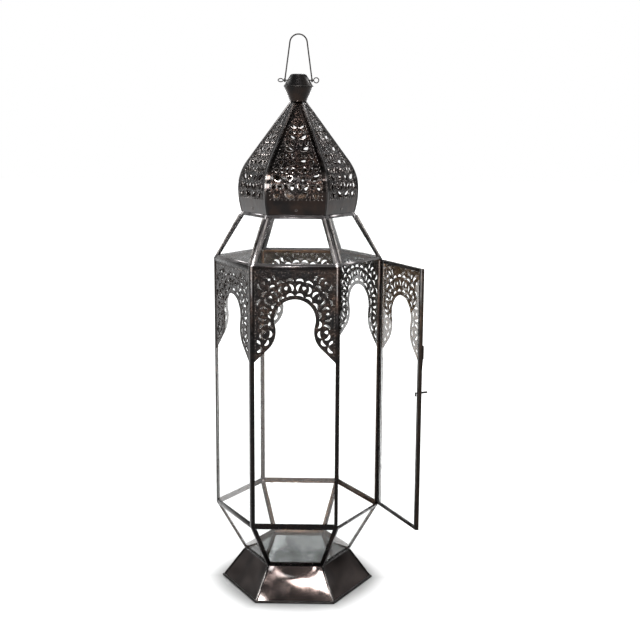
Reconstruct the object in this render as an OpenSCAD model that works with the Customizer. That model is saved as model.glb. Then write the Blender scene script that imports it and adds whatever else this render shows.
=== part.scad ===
// Six-sided glazed lantern: sheet foot, glazed cage and body, pierced valances, onion dome, hinged door.
// The origin is on the axis at the surface it stands on. The front face looks along -Y.

/* [Body] */
// Distance from the axis to a corner of the glazed body
body_radius = 110; // [104:1:120]
// Height of the glazed body
body_height = 334; // [300:1:370]

/* [Foot and lower cage] */
// Distance from the axis to a corner of the foot's panels at the floor
foot_radius = 102; // [96:1:112]
// Distance from the axis to a corner of the waist on top of the foot
waist_radius = 72; // [66:1:80]
// Height from the floor to the top of the floor plate
foot_height = 41; // [34:1:55]
// Height of the glazed cage between the floor plate and the body
cage_height = 65; // [52:1:80]
// Thickness of the foot's panels
foot_sheet = 0.9; // [0.6:0.1:1.5]
// Height of the rolled hem round the foot
hem_height = 3; // [2:0.5:5]
// Depth of the hem from its front to its back
hem_depth = 3; // [2.4:0.2:5]
// How far the hem and the seam strips stand proud of the panels
hem_proud = 0.7; // [0.4:0.1:1.2]
// Width of a seam strip on each side of a corner of the foot
seam_width = 2.2; // [1.6:0.2:4]
// Thickness of the floor plate
floor_sheet = 1; // [0.6:0.2:2]

/* [Came and glass] */
// Thickness of the came's strips
came_sheet = 0.6; // [0.5:0.1:1]
// Width of a corner came on each face it covers
came_leg = 4.6; // [4.2:0.2:6]
// Width of a shoulder rib on each face it covers
shoulder_leg = 6.2; // [5:0.2:8]
// Width of the solid web in a corner came
came_web = 2.8; // [2.6:0.1:3.4]
// Height of a channel rail
rail_height = 4; // [3.6:0.2:6]
// Wall of a channel rail behind the glass edge
rail_wall = 0.9; // [0.7:0.1:1.2]
// Thickness of the glass
glass_sheet = 1.8; // [1.5:0.1:2.2]
// Play of a sheet in its groove
groove_play = 0.05; // [0.03:0.01:0.1]
// Gap between the edge of a sheet and the bottom of its groove
edge_play = 0.3; // [0.2:0.1:0.6]

/* [Valance] */
// Thickness of a valance
valance_sheet = 0.6; // [0.4:0.1:0.8]
// Distance from the top of the body to the top of the arch
arch_drop = 40; // [34:1:46]
// Radius of the round head of the arch
arch_radius = 26; // [24:1:28]
// Width of the arch where the lobes pinch it
pinch_width = 48; // [46:1:50]
// Radius of the lobe below the pinch
lobe_radius = 30; // [28:1:34]
// Height of the solid band along the top, from the top of the body
band_height = 11; // [9:0.5:15]
// Width of the solid rim along the arch and the posts
valance_rim = 3.4; // [2.4:0.2:4.4]
// Length of a claw hole from point to point
claw_length = 9.8; // [8:0.2:10]
// Width of a claw hole from its back to its points
claw_width = 4.6; // [3.6:0.2:4.8]
// Depth of the hollow side of a claw hole
claw_hollow = 1; // [0.8:0.1:1.6]
// Side of a bud hole between two claws
claw_bud = 5; // [4:0.2:5.4]
// Tilt of the claws that stand across a row
claw_tilt = 18; // [10:1:20]
// Width of the metal left between two holes of a row
claw_bridge = 2.6; // [2:0.2:3]
// Gap between two rows, which only the points of their holes reach
row_gap = 2; // [1.4:0.1:2.4]

/* [Pierced leaves of the dome] */
// Length of the largest upright leaf holes
leaf_length = 9; // [8:0.2:10]
// Width of the largest upright leaf holes
leaf_width = 5; // [4:0.2:5.4]
// Length of the largest lying leaf holes
dome_leaf_length = 13.6; // [11:0.2:14]
// Width of the largest lying leaf holes
dome_leaf_width = 7.4; // [5:0.2:7.8]
// Turn of the lying leaves from upright
dome_leaf_turn = 62; // [50:1:70]
// Size that leaf holes would shrink to where a dome panel has no width, as a share of the largest
dome_leaf_shrink = 0.5; // [0.4:0.05:1]
// Width of the metal left between two leaf holes
leaf_bridge = 1.6; // [1.4:0.2:2.4]
// Tilt of the upright leaves
leaf_tilt = 18; // [10:1:24]
// Side of a bud hole as a share of the leaf's length
bud_ratio = 0.66; // [0.56:0.02:0.74]
// Share of a leaf's width on its rounder side
leaf_bow = 0.72; // [0.5:0.02:0.9]

/* [Shoulder and dome] */
// Height of the glazed shoulder
shoulder_height = 60.4; // [50:0.2:72]
// Distance from the axis to a corner of the dome's lower edge
dome_radius = 73; // [68:1:76]
// Distance from the axis to a corner of the dome where it is widest
bulge_radius = 77.2; // [77:0.2:82]
// Height of the widest place above the dome's lower edge
bulge_height = 29; // [24:1:34]
// Radius of the profile above the widest place
crown_arc = 68; // [60:1:76]
// Distance from the axis to a corner of the neck on top of the dome
neck_radius = 10; // [9:0.5:13]
// Height of the dome from its lower edge to the neck
dome_height = 139.4; // [130:0.2:150]
// Thickness of the dome's panels
dome_sheet = 0.8; // [0.6:0.1:1.2]
// Width of a seam strip on each side of an edge of the dome
dome_seam = 1.9; // [1.4:0.1:2.4]
// Thickness of a seam strip of the dome
dome_seam_sheet = 0.6; // [0.4:0.1:0.8]
// Height of the solid band along the dome's lower edge
dome_band = 19; // [15:1:24]
// Width of the solid border along the edges of a dome panel
dome_border = 6.5; // [5:0.5:8]
// Length of the plain top of a dome panel, measured along it
dome_plain_top = 30; // [24:1:40]
// Height of the bars inside the dome's lower edge
ring_height = 12; // [10:1:16]
// Thickness of the bars inside the dome's lower edge
ring_sheet = 1.4; // [1:0.2:2]
// Height of the rivets above the dome's lower edge
rivet_height = 6; // [5:0.5:7]
// Radius of a rivet's shank
rivet_radius = 1.2; // [1:0.1:1.6]
// Radius of a rivet's head
rivet_head = 2.2; // [2:0.1:2.8]
// Thickness of a rivet's head
rivet_head_sheet = 0.8; // [0.6:0.1:1.2]

/* [Finial and bail] */
// Radius of the finial's rim
rim_radius = 19; // [17:0.5:22]
// Height of the lower cone of the finial
cup_height = 19; // [16:0.5:24]
// Height of the upper cone of the finial
cap_height = 15.5; // [13:0.5:19]
// Radius of the finial's top
cap_top_radius = 11; // [10:0.5:13]
// Rounding of the finial's top edge
cap_round = 3; // [2:0.5:4]
// Wall of the finial's cones
finial_wall = 1.2; // [1:0.1:1.6]
// Radius of the wire through the finial
pin_radius = 0.8; // [0.7:0.05:0.9]
// Radius of the curl at each end of that wire, to the middle of the wire
curl_radius = 3.2; // [2.6:0.2:4]
// Radius of the wire in the curls
curl_wire = 0.65; // [0.5:0.05:0.65]
// Turn of the left curl about the wire
curl_turn = 55; // [0:5:90]
// Height of the wire above the finial's rim
pin_height = 7.8; // [6:0.2:9]
// Radius of the bail's wire
bail_wire = 0.9; // [0.8:0.05:1]
// Radius of the bend at the top of the bail, to the middle of the wire
bail_bend = 11; // [9:0.5:13]
// Height of the bail from the wire it hangs on to its highest place
bail_height = 57.8; // [45:0.2:70]
// Outer radius of the bail's eyes
eye_radius = 2.4; // [2.2:0.1:2.8]
// Width of the bail's eyes
eye_width = 2.2; // [2.2:0.1:3]
// Gap between the bail's eyes and the finial
eye_gap = 0.4; // [0.3:0.1:1]
// Radial clearance of a wire or pin in the bore it turns in
running_play = 0.05; // [0.03:0.01:0.09]

/* [Door] */
// Angle the door stands open by
door_open = 55; // [0:1:120]
// Gap round the door
door_gap = 0.8; // [0.6:0.1:1.2]
// Width of a door stile from the corner
door_leg = 6.8; // [6.6:0.1:8]
// Width of the solid web of a door stile from the corner
door_web = 6; // [5.8:0.1:6.4]
// Distance from the corner of the body to the hinge axis
hinge_offset = 2.5; // [2.4:0.1:3]
// Outer radius of a hinge barrel
barrel_radius = 1.7; // [1.6:0.05:1.8]
// Radius of a hinge pin
hinge_pin_radius = 0.8; // [0.7:0.05:0.9]
// Height of a hinge
hinge_height = 27; // [21:1:36]
// Distance of the hinges from the ends of the body
hinge_inset = 32; // [20:1:60]
// Thickness of a hinge leaf
hinge_sheet = 0.8; // [0.7:0.1:0.9]
// Distance from the corner to the near edge of a hinge leaf
hinge_near = 1.4; // [1.3:0.1:1.8]
// Distance from the corner to the far edge of a hinge leaf
hinge_far = 4.4; // [4:0.1:4.6]
// Gap between hinge knuckles, and under their straps
knuckle_gap = 0.2; // [0.15:0.05:0.4]

/* [Catch and pull] */
// Height of the catch above the bottom of the body
catch_height = 178.5; // [120:0.5:220]
// Distance of the catch's spindle from the corner
spindle_inset = 4.5; // [4.4:0.05:4.6]
// Radius of the catch's spindle
spindle_radius = 0.8; // [0.7:0.05:0.85]
// Length of the catch's peg
peg_length = 10; // [7:0.5:14]
// Radius of the catch's peg
peg_radius = 1.3; // [1.1:0.1:1.6]
// Length of the catch's tongue from the spindle's axis
tongue_length = 3.9; // [3.5:0.1:4]
// Width of the catch's tongue
tongue_width = 2.6; // [2.2:0.1:3]
// Thickness of the catch's tongue
tongue_sheet = 1; // [0.8:0.1:1.2]
// Gap between the catch and the faces it turns against
catch_gap = 0.3; // [0.25:0.05:0.35]
// Height of the pull's lower end above the bottom of the body
pull_bottom = 203; // [195:1:230]
// Height of the pull's tail
pull_tail = 18; // [14:1:24]
// Height of the pull's block
pull_block = 17; // [12:1:22]
// How far the pull stands proud of the door
pull_proud = 3; // [2:0.2:4]
// Thickness of the end of the pull's tail
pull_tip = 0.8; // [0.5:0.1:1.2]
// Width of the pull
pull_width = 4; // [3:0.2:4.2]

/* [Hidden] */
$fn = 64;
sides = 6;
face_turn = 360 / sides;
in_ratio = cos(180 / sides);
side_ratio = sin(180 / sides);
door_face = 1;
fixed_faces = [0, 2, 3, 4, 5];
fixed_count = len(fixed_faces);
// Length by which cutting shapes run past what they cut
spare = 12;
// Length of the sectors that divide the lantern into its six faces
reach = 2 * (body_radius + foot_radius);

bronze = [0.17, 0.14, 0.12];
dark_bronze = [0.12, 0.10, 0.09];
bright_bronze = [0.35, 0.33, 0.31];
tin = [0.55, 0.58, 0.61];
clear_glass = [0.85, 0.92, 0.94, 0.35];

// Heights of the levels
cage_level = foot_height;
body_level = cage_level + cage_height;
shoulder_level = body_level + body_height;
dome_level = shoulder_level + shoulder_height;
neck_level = dome_level + dome_height;
rim_level = neck_level + cup_height;
top_level = rim_level + cap_height;
pin_level = rim_level + pin_height;

// Depths in the came, inwards from its outer face
valance_near = came_sheet + groove_play;
valance_far = valance_near + valance_sheet;
glass_near = valance_far + groove_play;
glass_far = glass_near + glass_sheet;
groove_far = glass_far + groove_play;
came_depth = groove_far + came_sheet;

// Each tier is a ring of six flat faces: lower radius, lower level, upper radius, upper level
foot = [foot_radius, 0, waist_radius, foot_height - floor_sheet];
cage = [waist_radius, cage_level, body_radius, body_level];
body = [body_radius, body_level, body_radius, shoulder_level];
shoulder = [body_radius, shoulder_level, dome_radius, dome_level];
door = [body_radius, body_level + door_gap, body_radius, shoulder_level - door_gap];

function lean(t) = atan2((t[2] - t[0]) * in_ratio, t[3] - t[1]);
function slant(t) = norm([(t[2] - t[0]) * in_ratio, t[3] - t[1]]);
function half_width(t, y) = side_ratio * (t[0] + (t[2] - t[0]) * y / slant(t));
// Inset along a level line for an inset square to a face's slanting side
function level_inset(t, inset) = inset * norm([side_ratio * (t[2] - t[0]), slant(t)]) / slant(t);
function outline(t, inset, y0, y1) =
    let (e = level_inset(t, inset), w0 = half_width(t, y0) - e, w1 = half_width(t, y1) - e)
    [[-w0, y0], [w0, y0], [w1, y1], [-w1, y1]];
// Distance from the end of a face to the bottom of its rail's groove
function rail_seat(t, upper) = rail_wall + groove_far * max(0, (upper ? 1 : -1) * tan(lean(t)));
// Angle, at a circle, of the place where a line from a point touches it
function touch_angle(centre, radius, point, way) =
    atan2(point.y - centre.y, point.x - centre.x) + way * acos(radius / norm(point - centre));

// Dome profile, as distance from the axis to the middle of a face against height
ring_in = dome_radius * in_ratio;
bulge_in = bulge_radius * in_ratio;
neck_in = neck_radius * in_ratio;
bulge_level = dome_level + bulge_height;
foot_arc = (bulge_height ^ 2 + (bulge_in - ring_in) ^ 2) / (2 * (bulge_in - ring_in));
foot_centre = [bulge_in - foot_arc, bulge_level];
crown_centre = [bulge_in - crown_arc, bulge_level];
crown_turn = touch_angle(crown_centre, crown_arc, [neck_in, neck_level], -1);
crown_end = crown_centre + crown_arc * [cos(crown_turn), sin(crown_turn)];
foot_turn = asin(bulge_height / foot_arc);
foot_run = foot_arc * foot_turn * PI / 180;
crown_run = crown_arc * crown_turn * PI / 180;
dome_run = foot_run + crown_run + norm([neck_in, neck_level] - crown_end);
// Place on the dome's profile at a distance along it: [distance from the axis, height, turn of the normal]
function dome_at(run) =
    run < foot_run
        ? let (f = (run - foot_run) / foot_arc * 180 / PI)
          [foot_centre.x + foot_arc * cos(f), foot_centre.y + foot_arc * sin(f), f]
    : run < foot_run + crown_run
        ? let (f = (run - foot_run) / crown_arc * 180 / PI)
          [crown_centre.x + crown_arc * cos(f), crown_centre.y + crown_arc * sin(f), f]
    : let (e = run - foot_run - crown_run)
      [crown_end.x - e * sin(crown_turn), crown_end.y + e * cos(crown_turn), crown_turn];

// Valance, with heights measured from the bottom of the body
arch_centre = body_height - arch_drop - arch_radius;
lobe_x = pinch_width / 2 + lobe_radius;
lobe_y = arch_centre - sqrt((arch_radius + lobe_radius) ^ 2 - lobe_x ^ 2);
meet = arch_radius / (arch_radius + lobe_radius) * [lobe_x, lobe_y - arch_centre] + [0, arch_centre];
lobe_end = [lobe_x, lobe_y] - lobe_radius * [sin(45), sin(45)];
valance_half = side_ratio * body_radius - came_web - edge_play;
door_valance_half = side_ratio * body_radius - door_web - edge_play;
valance_top = body_height - rail_wall - edge_play;
door_valance_top = valance_top - door_gap;
function valance_tip(half) = lobe_end.y - (half - lobe_end.x);
// Turns through which a row that follows the arch goes round its head and round a lobe
meet_turn = atan2(lobe_y - arch_centre, lobe_x);
head_turn = 90 - meet_turn;
lobe_turn = 45 - meet_turn;
// Place on a row at a distance from the arch's edge, by its run from the middle of the arch's head:
// [x, y, heading, side it bows to]
function arch_row(offset, run) =
    let (
        head = arch_radius + offset,
        lobe = lobe_radius - offset,
        past_head = run - head * head_turn * PI / 180,
        past_lobe = past_head - lobe * lobe_turn * PI / 180
    )
    past_head < 0
        ? let (f = meet_turn - past_head / head * 180 / PI)
          [head * cos(f), arch_centre + head * sin(f), f - 90, 1]
    : past_lobe < 0
        ? let (f = 225 + past_lobe / lobe * 180 / PI)
          [lobe_x + lobe * cos(f), lobe_y + lobe * sin(f), f + 90, -1]
    : [lobe_x + (past_lobe - lobe) * sin(45), lobe_y - (past_lobe + lobe) * sin(45), -45, -1];

// The rows of a valance lie round the arch, those of claws along it and of claws across it in turn
function row_depth(row) = row % 2 == 0 ? claw_width : claw_length;
function row_step(row) =
    row % 2 == 0 ? claw_length + claw_bridge : (claw_width + claw_bridge) / cos(claw_tilt);
function row_offset(row) =
    valance_rim + row_depth(row) / 2
    + floor((row + 1) / 2) * (claw_width + row_gap) + floor(row / 2) * (claw_length + row_gap);

// Hinge axis on the right-hand corner of the front face
hinge_axis = (body_radius + hinge_offset) * [side_ratio, -in_ratio];
corner_x = body_radius * side_ratio;
face_y = -body_radius * in_ratio;
hinge_starts = [body_level + hinge_inset, shoulder_level - hinge_inset - hinge_height];
knuckle = hinge_height / 3;
// Depth of the catch's tongue, just behind the edge of the post it bears on
tongue_near = came_leg * in_ratio + came_depth * side_ratio + catch_gap;

// Cone of the finial's cap, up to the place where its rounded top edge starts
round_centre = [cap_top_radius - cap_round, top_level - cap_round];
round_touch = touch_angle(round_centre, cap_round, [rim_radius, rim_level], 1);
cone_end = round_centre + cap_round * [cos(round_touch), sin(round_touch)];

// Bail, with its eyes clear of the cone at their lowest place
eye_face = rim_radius + (cone_end.x - rim_radius) * (pin_height - eye_radius) / (cone_end.y - rim_level);
eye_x = eye_face + eye_gap + eye_width / 2;
curl_x = eye_x + eye_width / 2 + eye_gap + curl_wire + curl_radius;
bend_centre = [0, pin_level + bail_height - bail_wire - bail_bend];
bend_touch = touch_angle(bend_centre, bail_bend, [eye_x, pin_level], 1);
// The straight legs run a little way into the bend, and are thinner by a hair so that they end inside it
leg_lap = 0.4;
leg_step = 0.03;
leg_length = norm(bend_centre + bail_bend * [cos(bend_touch), sin(bend_touch)] - [eye_x, pin_level]);

// Turns a piece drawn on the front face to another face
module on_face(i) {
    rotate([0, 0, face_turn * i]) children();
}

// Draws a piece over the corner to the right of a face: what lies on the right-hand half of the front face,
// and its mirror image on the next face, or only one of the two
module over_corner(i, low, high, mirrors = [0, 1]) {
    rotate([0, 0, face_turn * (i + 0.5)])
        for (m = mirrors)
            mirror([m, 0, 0])
                intersection() {
                    translate([0, 0, low])
                        linear_extrude(high - low)
                            polygon([[0, 0], [0, -reach], [-reach * side_ratio, -reach * in_ratio]]);
                    rotate([0, 0, -face_turn / 2]) children();
                }
}

// Places a piece drawn on the front face, with its hinge on the right, on the open door
module on_door() {
    on_face(door_face)
        translate(hinge_axis)
            rotate([0, 0, door_open])
                translate(-hinge_axis)
                    children();
}

// Sector of the lantern that belongs to the front face, or its right or left half, drawn back by a gap
module cell(low, high, side = 0, gap = 0) {
    translate([0, -gap / side_ratio, low])
        linear_extrude(high - low)
            polygon([
                [0, 0],
                [side < 0 ? 0 : reach * side_ratio, -reach * in_ratio],
                [side > 0 ? 0 : -reach * side_ratio, -reach * in_ratio]
            ]);
}

// Flat shape on the front face of a tier, from one depth behind the face to another
module face_shape(t, near, far) {
    translate([0, -t[0] * in_ratio, t[1]])
        rotate([90 + lean(t), 0, 0])
            translate([0, 0, -far])
                linear_extrude(far - near)
                    children();
}

// Sheet with the outline of a tier's face, drawn in from its sides
module face_sheet(t, inset, y0, y1, near, far) {
    face_shape(t, near, far) polygon(outline(t, inset, y0, y1));
}

// Strips along the sides of a face, from one depth to another
module side_strips(t, width, near, far) {
    difference() {
        face_sheet(t, -spare, -spare, slant(t) + spare, near, far);
        face_sheet(t, width, -2 * spare, slant(t) + 2 * spare, near - spare, far + spare);
    }
}

// Came along the sides of a face, with the groove that holds the glass
module side_came(t, leg, web) {
    difference() {
        side_strips(t, leg, 0, came_depth);
        face_sheet(t, web, -2 * spare, slant(t) + 2 * spare, came_sheet, groove_far);
    }
}

// Came over every corner of a tier
module corner_cames(t, leg) {
    for (i = [0:sides - 1])
        over_corner(i, t[1], t[3])
            side_came(t, leg, came_web);
}

// Channel rail along the lower or upper end of a face
module rail(t, leg, upper) {
    end = slant(t);
    intersection() {
        cell(t[1], t[3]);
        difference() {
            face_sheet(
                t, leg,
                upper ? end - rail_height : -spare,
                upper ? end + spare : rail_height,
                0, came_depth
            );
            face_sheet(
                t, 0,
                upper ? end - rail_height - spare : rail_seat(t, false),
                upper ? end - rail_seat(t, true) : rail_height + spare,
                came_sheet, groove_far
            );
        }
    }
}

// Pane of glass that fills a face's grooves
module pane(t, web) {
    face_sheet(
        t, web + edge_play,
        rail_seat(t, false) + edge_play,
        slant(t) - rail_seat(t, true) - edge_play,
        glass_near, glass_far
    );
}

// Bud with three points and bowed sides, standing on one point
module bud(side) {
    bow = side / 7;
    arc = (side ^ 2 / 4 + bow ^ 2) / (2 * bow);
    intersection_for (k = [0:2])
        rotate(90 + 120 * k)
            translate([side / (2 * sqrt(3)) + bow - arc, 0])
                circle(arc);
}

// Lens with two points, from an arc on each side
module lens(length, right, left) {
    half = length / 2;
    right_arc = (half ^ 2 + right ^ 2) / (2 * right);
    left_arc = (half ^ 2 + left ^ 2) / (2 * left);
    intersection() {
        translate([right - right_arc, 0]) circle(right_arc);
        translate([left_arc - left, 0]) circle(left_arc);
    }
}

// Leaf with two points, rounder on its right-hand side
module leaf(length, width) {
    translate([(0.5 - leaf_bow) * width, 0]) lens(length, leaf_bow * width, (1 - leaf_bow) * width);
}

// Claw with two points, round on its right-hand side and hollow on the other
module claw() {
    half = claw_length / 2;
    back_arc = (half ^ 2 + claw_width ^ 2) / (2 * claw_width);
    hollow_arc = (half ^ 2 + claw_hollow ^ 2) / (2 * claw_hollow);
    difference() {
        translate([claw_width / 2 - back_arc, 0]) circle(back_arc);
        translate([claw_hollow - claw_width / 2 - hollow_arc, 0]) circle(hollow_arc);
    }
}

// Hole of a pattern that repeats the first shape and a tilted pair of the second
module pattern_hole(step, tilt) {
    kind = step % 3;
    if (kind == 0)
        children(0);
    else
        mirror([kind - 1, 0])
            rotate(tilt)
                children(1);
}

// Opening under a valance: a round head, pinched by two lobes that run out to the posts
module arch_opening(half) {
    tip = valance_tip(half);
    translate([0, arch_centre]) circle(arch_radius);
    difference() {
        polygon([
            [-half, tip - spare], [half, tip - spare], [half, tip], lobe_end, [lobe_x, lobe_y], meet,
            [-meet.x, meet.y], [-lobe_x, lobe_y], [-lobe_end.x, lobe_end.y], [-half, tip]
        ]);
        translate([lobe_x, lobe_y]) circle(lobe_radius);
        translate([-lobe_x, lobe_y]) circle(lobe_radius);
    }
}

// Holes on the right-hand half of a valance, in rows round the arch as far as the band and the post
module valance_claws(half, leg) {
    outer = side_ratio * body_radius - leg - valance_rim;
    high = body_height - band_height;
    low = valance_tip(half) + claw_length;
    inset = claw_width / 4;
    corner_offset = norm([outer, high - arch_centre]) - arch_radius;
    intersection() {
        translate([0, low - claw_length]) square([outer, high - low + claw_length]);
        for (row = [0:floor(2 * corner_offset / (claw_length + claw_width + 2 * row_gap))]) {
            offset = row_offset(row);
            head_run = (arch_radius + offset) * head_turn * PI / 180;
            on_lobe = lobe_radius - offset > claw_width;
            whole_run = on_lobe ? head_run + arch_centre : head_run;
            for (column = [0:floor(whole_run / row_step(row)) - 1]) {
                place = arch_row(offset, (column + 0.5) * row_step(row));
                if (place.x < outer - inset && place.y < high - inset && place.y > low)
                    translate([place.x, place.y])
                        rotate(place[2])
                            if (row % 2 == 0)
                                rotate(90 * place[3]) claw();
                            else
                                pattern_hole(row + column + 1, claw_tilt) {
                                    bud(claw_bud);
                                    claw();
                                }
            }
        }
    }
}

// Pierced sheet with the arch, drawn flat with its lower end at the bottom of the body
module valance_sheet_shape(half, top, leg) {
    low = valance_tip(half);
    difference() {
        translate([-half, low]) square([2 * half, top - low]);
        arch_opening(half);
        valance_claws(half, leg);
        mirror([1, 0]) valance_claws(half, leg);
    }
}

// Half of the dome's section, drawn in from its outer face
module dome_section(inset) {
    n = inset * [cos(crown_turn), sin(crown_turn)];
    end = crown_end - n;
    top = [neck_in, neck_level] - n;
    run_on = spare * [-sin(crown_turn), cos(crown_turn)];
    intersection() {
        translate(foot_centre) circle(foot_arc - inset, $fn = 360);
        translate([0, dome_level]) square([bulge_in + spare, bulge_height]);
    }
    intersection() {
        translate(crown_centre) circle(crown_arc - inset, $fn = 240);
        translate([0, bulge_level - spare]) square([bulge_in + spare, end.y - bulge_level + spare]);
    }
    polygon([[0, end.y - spare], end, top + run_on, [0, top.y + run_on.y]]);
}

// Curved band along the front of the dome, between two depths behind its outer face
module dome_band_shape(near, far) {
    rotate([90, 0, -90])
        linear_extrude(4 * bulge_radius, center = true)
            difference() {
                dome_section(near);
                dome_section(far);
            }
}

// Curved sheet on the front face of the dome, up to a level
module dome_sheet_shape(near, far, top, gap = 0) {
    intersection() {
        cell(dome_level, top, 0, gap);
        dome_band_shape(near, far);
    }
}

// Places a piece square to the dome's front face at a distance along its profile
module on_dome(run, x = 0) {
    p = dome_at(run);
    translate([x, -p[0], p[1]])
        rotate([90 - p[2], 0, 0])
            children();
}

// Half the width of the pierced field of a dome panel at a distance along its profile
function field_half(run) = dome_at(run)[0] * side_ratio / in_ratio - dome_border - leaf_bridge / 2;
// Size of the holes there, as a share of the largest
function leaf_share(run) =
    dome_leaf_shrink + (1 - dome_leaf_shrink) * field_half(run) / field_half(foot_run);
// Rows of a dome panel, of lying and of upright holes in turn
function lying(row) = row % 2 == 0;
// Height of a row and spacing of its holes, for the largest holes
function dome_row_rise(row) =
    lying(row)
        ? dome_leaf_length * cos(dome_leaf_turn) + dome_leaf_width * sin(dome_leaf_turn) / 2
        : leaf_length * cos(leaf_tilt) + leaf_width * sin(leaf_tilt) / 2;
function dome_row_step(row) =
    lying(row) ? dome_leaf_length * sin(dome_leaf_turn) : (leaf_width + leaf_bridge) / cos(leaf_tilt);
// Rows from a distance along the profile to the plain top: [lower end, height, share]
function dome_rows(run, row = 0) =
    let (share = leaf_share(run), rise = share * dome_row_rise(row) + 0.7 * leaf_bridge)
    run + rise > dome_run - dome_plain_top
        ? []
        : concat([[run, rise, share]], dome_rows(run + rise, row + 1));

// Hole of a row that repeats a leaf spread outwards and a bud, moved on by one from row to row
module lying_hole(step, share) {
    if (step % 2 == 0)
        rotate(-dome_leaf_turn)
            leaf(share * dome_leaf_length, share * dome_leaf_width);
    else
        bud(share * dome_leaf_width);
}

// Holes through the right-hand half of a dome panel, in rows that narrow towards the neck
module dome_leaves() {
    rows = dome_rows(dome_band);
    for (row = [0:len(rows) - 1]) {
        run = rows[row][0] + rows[row][1] / 2;
        share = rows[row][2];
        half = field_half(rows[row][0] + rows[row][1]);
        count = max(1, floor(half / (share * dome_row_step(row))));
        room = half / count;
        for (column = [0:count - 1])
            on_dome(run, leaf_bridge / 2 + (column + 0.5) * room)
                linear_extrude(spare, center = true)
                    if (lying(row))
                        lying_hole(
                            count == 1 ? 0 : row / 2 + column,
                            min(share, room / (dome_row_step(row) + leaf_bridge))
                        );
                    else
                        pattern_hole(row + column, leaf_tilt) {
                            bud(share * bud_ratio * leaf_length);
                            leaf(share * leaf_length, share * leaf_width);
                        }
    }
}

// Distance along the dome's profile to the rivets
rivet_run = foot_run + foot_arc * asin((rivet_height - bulge_height) / foot_arc) * PI / 180;
// Depth from the dome's outer face to the back of the bars
ring_far = dome_sheet + groove_play + ring_sheet;

module rivet_bore() {
    on_dome(rivet_run) cylinder(h = spare, r = rivet_radius + running_play, center = true);
}

module base_panel(i) {
    color(bronze)
        on_face(i - 1)
            intersection() {
                cell(hem_height, foot[3]);
                face_sheet(foot, -spare, -spare, slant(foot) + spare, 0, foot_sheet);
            }
}

module base_seams() {
    color(bright_bronze)
        for (i = [0:sides - 1])
            over_corner(i, hem_height, foot[3])
                side_strips(foot, seam_width, -hem_proud, 0);
}

module base_hem() {
    color(bright_bronze)
        for (i = [0:sides - 1])
            on_face(i)
                intersection() {
                    cell(0, hem_height, 0, groove_play);
                    face_sheet(foot, -spare, -spare, slant(foot), -hem_proud, hem_depth - hem_proud);
                }
}

module floor_plate() {
    color(tin)
        translate([0, 0, foot[3]])
            cylinder(h = floor_sheet, r = waist_radius, $fn = sides);
}

module lower_base_rails() {
    color(bronze) for (i = [0:sides - 1]) on_face(i) rail(cage, came_leg, false);
}

module lower_top_rails() {
    color(bronze) for (i = [0:sides - 1]) on_face(i) rail(cage, came_leg, true);
}

module lower_ribs() {
    color(bronze) corner_cames(cage, came_leg);
}

module lower_glass() {
    color(clear_glass) for (i = [0:sides - 1]) on_face(i) pane(cage, came_web);
}

// Post on the corner to the right of a face, with no leg on the doorway
module post(i) {
    mirrors = i - 1 == door_face ? [1] : i % sides == door_face ? [0] : [0, 1];
    color(bronze)
        over_corner(i - 1, body_level, shoulder_level, mirrors)
            side_came(body, came_leg, came_web);
}

module body_bottom_rails() {
    color(bronze) for (i = fixed_faces) on_face(i) rail(body, came_leg, false);
}

module body_top_rails() {
    color(bronze) for (i = fixed_faces) on_face(i) rail(body, came_leg, true);
}

module body_glass(i) {
    color(clear_glass) on_face(fixed_faces[i - 1]) pane(body, came_web);
}

module valance(i) {
    color(dark_bronze)
        on_face(fixed_faces[i - 1])
            face_shape(body, valance_near, valance_far)
                valance_sheet_shape(valance_half, valance_top, came_leg);
}

module shoulder_base_rails() {
    color(bronze) for (i = [0:sides - 1]) on_face(i) rail(shoulder, shoulder_leg, false);
}

module shoulder_top_rails() {
    color(bronze) for (i = [0:sides - 1]) on_face(i) rail(shoulder, shoulder_leg, true);
}

module shoulder_ribs() {
    color(bright_bronze) corner_cames(shoulder, shoulder_leg);
}

module shoulder_glass() {
    color(clear_glass) for (i = [0:sides - 1]) on_face(i) pane(shoulder, came_web);
}

module dome_ring() {
    color(dark_bronze)
        for (i = [0:sides - 1])
            on_face(i)
                difference() {
                    dome_sheet_shape(dome_sheet + groove_play, ring_far, dome_level + ring_height, edge_play);
                    rivet_bore();
                }
}

module dome_panel(i) {
    color(dark_bronze)
        on_face(i - 1)
            difference() {
                dome_sheet_shape(0, dome_sheet, neck_level);
                dome_leaves();
                mirror([1, 0, 0]) dome_leaves();
                rivet_bore();
            }
}

module dome_ribs() {
    color(bronze)
        for (i = [0:sides - 1])
            over_corner(i, dome_level, neck_level)
                difference() {
                    dome_band_shape(-dome_seam_sheet, 0);
                    cell(dome_level - spare, neck_level + spare, 0, dome_seam);
                }
}

module dome_rivets() {
    color(bright_bronze)
        for (i = [0:sides - 1])
            on_face(i)
                on_dome(rivet_run) {
                    cylinder(h = rivet_head_sheet, r1 = rivet_head, r2 = rivet_radius);
                    translate([0, 0, -ring_far - rivet_head_sheet])
                        cylinder(h = ring_far + rivet_head_sheet, r = rivet_radius);
                    translate([0, 0, -ring_far - groove_play - rivet_head_sheet])
                        cylinder(h = rivet_head_sheet, r = rivet_head);
                }
}

module finial_cup() {
    foot_of_cup = neck_radius + dome_seam_sheet;
    color(dark_bronze)
        rotate_extrude()
            polygon([
                [0, neck_level], [foot_of_cup, neck_level], [rim_radius, rim_level],
                [rim_radius - 2 * finial_wall, rim_level],
                [foot_of_cup - finial_wall, neck_level + finial_wall], [0, neck_level + finial_wall]
            ]);
}

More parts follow.
